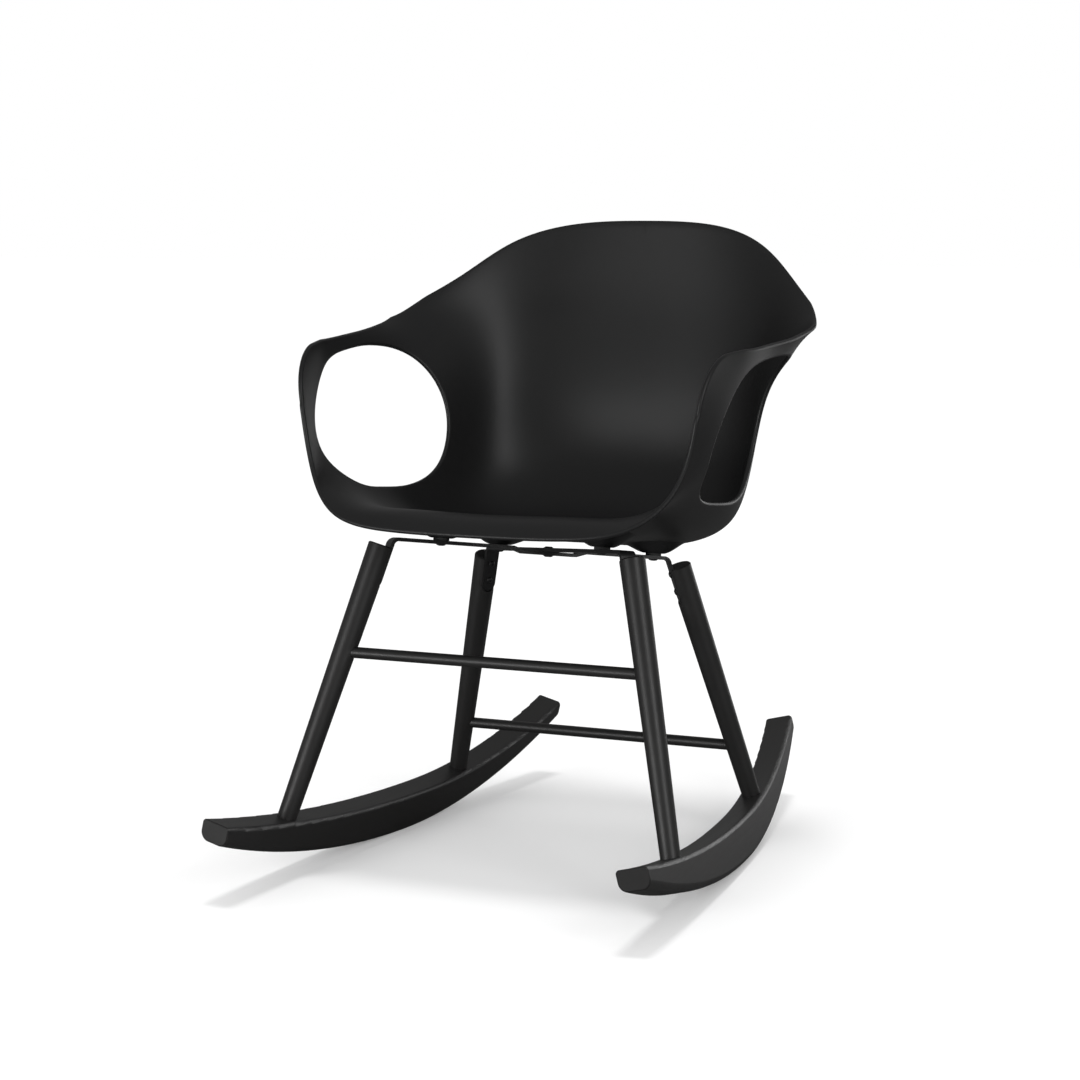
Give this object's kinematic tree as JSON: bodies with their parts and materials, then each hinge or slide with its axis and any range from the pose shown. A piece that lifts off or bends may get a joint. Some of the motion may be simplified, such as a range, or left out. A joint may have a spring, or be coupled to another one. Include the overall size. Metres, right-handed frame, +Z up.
{
  "type": "rocking chair",
  "caption": "Moulded one-piece armchair shell with arm openings, on crossed steel straps, splayed round wooden legs with stretchers, and two curved wooden rockers.",
  "frame": {"origin": "on the floor, midway between the front and rear ends of the rockers, in the chair's middle plane", "axes": "+Z up, -Y the way the sitter faces, +X the sitter's left"},
  "size_m": [0.5958, 0.8092, 0.7975],
  "materials": {
    "shell_plastic": "satin, finely textured",
    "black_steel": "black powder coat",
    "black_wood": "black stain under satin lacquer",
    "brass_inserts": "machined",
    "rubber_spacers": "matt"
  },
  "bodies": {
    "root": {"seat_shell": "shell_plastic", "threaded_inserts": "brass_inserts", "seat_spacers": "rubber_spacers", "shell_screws": "black_steel", "strap_upper": "black_steel", "strap_lower": "black_steel", "cross_rivet": "black_steel", "leg_front_left": "black_wood", "leg_front_right": "black_wood", "front_stretcher": "black_wood", "leg_rear_left": "black_wood", "leg_rear_right": "black_wood", "rear_stretcher": "black_wood", "leg_screws": "black_steel", "rocker_left": "black_wood", "rocker_right": "black_wood"}
  },
  "joints": []
}
